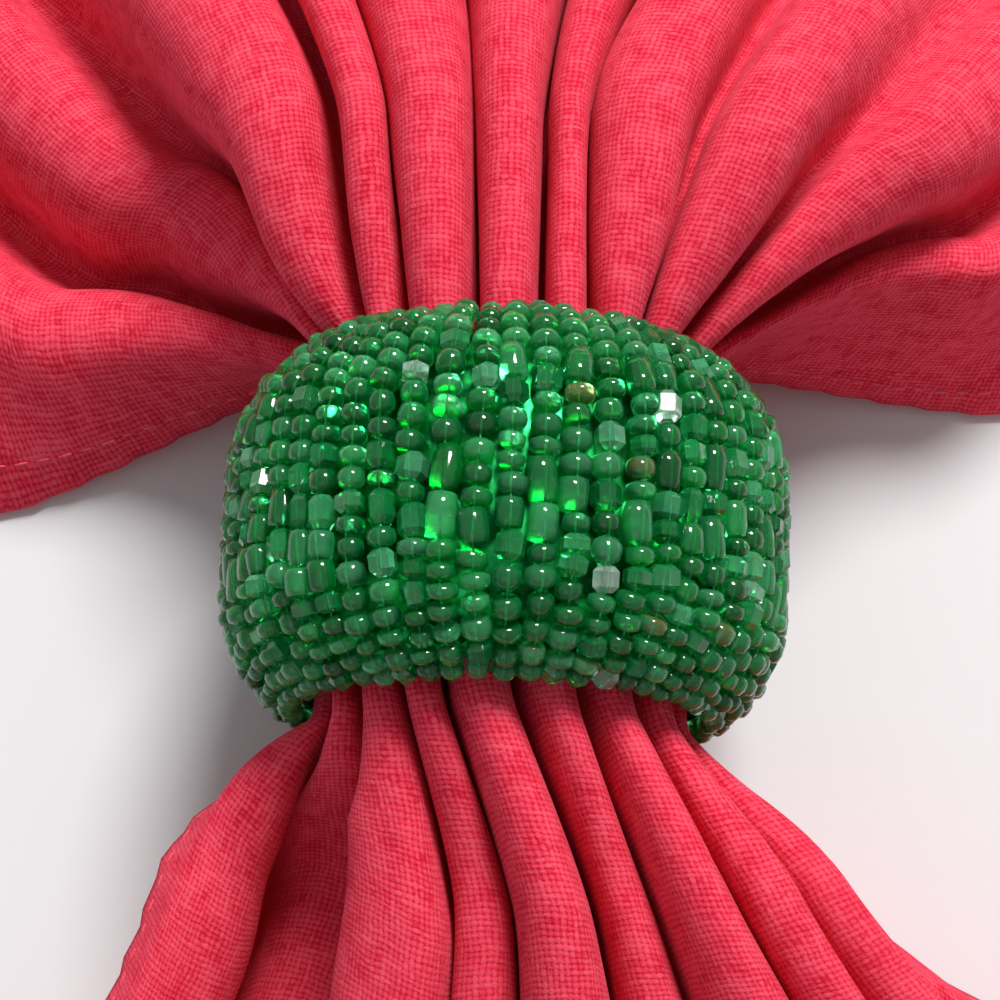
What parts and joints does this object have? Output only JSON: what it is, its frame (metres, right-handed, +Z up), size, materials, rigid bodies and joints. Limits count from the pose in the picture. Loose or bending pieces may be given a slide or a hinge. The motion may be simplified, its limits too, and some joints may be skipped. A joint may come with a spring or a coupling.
{
  "type": "napkin in a ring",
  "caption": "Square cloth napkin gathered through a crowned, beaded napkin ring, opening into a pleated fan at each end and lying on the table.",
  "frame": {"origin": "centre of the bounding box's base, on the table", "axes": "+Z up; the ring's axis and the gathered cloth run along Y, +Y towards the wider fan; +X to the right when the narrower fan is nearest"},
  "size_m": [0.3236, 0.3866, 0.055],
  "materials": {
    "napkin_cloth": "red plain-weave cotton, matt, slightly fuzzy",
    "glass_beads": "transparent green glass seed and tube beads, glossy",
    "band_metal": "green lacquer over thin brass sheet"
  },
  "bodies": {
    "root": {"napkin": "napkin_cloth", "bead_wrap": "glass_beads", "ring_band": "band_metal"}
  },
  "joints": []
}
